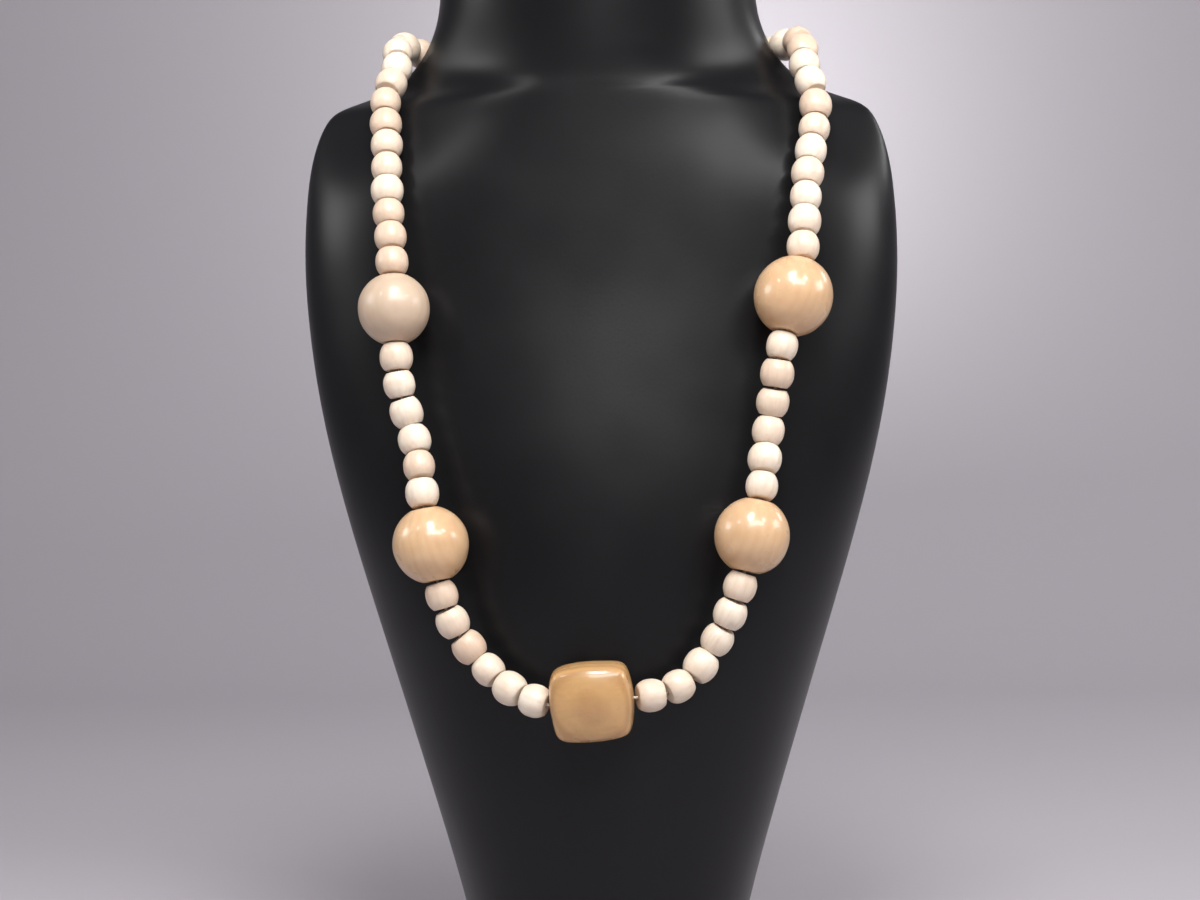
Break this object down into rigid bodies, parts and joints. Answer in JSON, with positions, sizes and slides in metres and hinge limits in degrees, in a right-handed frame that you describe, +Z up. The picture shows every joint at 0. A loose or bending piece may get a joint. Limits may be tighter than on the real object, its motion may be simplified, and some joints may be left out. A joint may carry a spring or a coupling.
{
  "type": "beaded necklace on a neck bust",
  "caption": "Necklace of ivory-colored barrel beads with larger round beads and a cushion-shaped center bead, on a plain black neck bust.",
  "frame": {"origin": "center of the flat foot of the bust, on the surface it stands on", "axes": "+Z up the bust to the neck, -Y out of the chest towards the viewer, +X to the viewer's right"},
  "size_m": [0.182, 0.1248, 0.326],
  "materials": {
    "bead_ivory": "satin, ivory to pinkish tan with faint grain",
    "bead_tan": "glossy warm tan",
    "bead_pale": "satin pale tan",
    "bead_amber": "glossy amber tan with fine grain",
    "thread": "matt waxed thread",
    "bust_leatherette": "smooth black satin"
  },
  "bodies": {
    "root": {"neck_bust": "bust_leatherette", "center_bead": "bead_amber", "round_bead_lower_left": "bead_tan", "round_bead_lower_right": "bead_tan", "round_bead_upper_left": "bead_pale", "round_bead_upper_right": "bead_tan", "bead_lower_left_1": "bead_ivory", "bead_lower_left_2": "bead_ivory", "bead_lower_left_3": "bead_ivory", "bead_lower_left_4": "bead_ivory", "bead_lower_left_5": "bead_ivory", "bead_lower_left_6": "bead_ivory", "bead_lower_right_1": "bead_ivory", "bead_lower_right_2": "bead_ivory", "bead_lower_right_3": "bead_ivory", "bead_lower_right_4": "bead_ivory", "bead_lower_right_5": "bead_ivory", "bead_lower_right_6": "bead_ivory", "bead_middle_left_1": "bead_ivory", "bead_middle_left_2": "bead_ivory", "bead_middle_left_3": "bead_ivory", "bead_middle_left_4": "bead_ivory", "bead_middle_left_5": "bead_ivory", "bead_middle_left_6": "bead_ivory", "bead_middle_right_1": "bead_ivory", "bead_middle_right_2": "bead_ivory", "bead_middle_right_3": "bead_ivory", "bead_middle_right_4": "bead_ivory", "bead_middle_right_5": "bead_ivory", "bead_middle_right_6": "bead_ivory", "thread": "thread", "string_left": "bead_ivory", "string_right": "bead_ivory"}
  },
  "joints": []
}
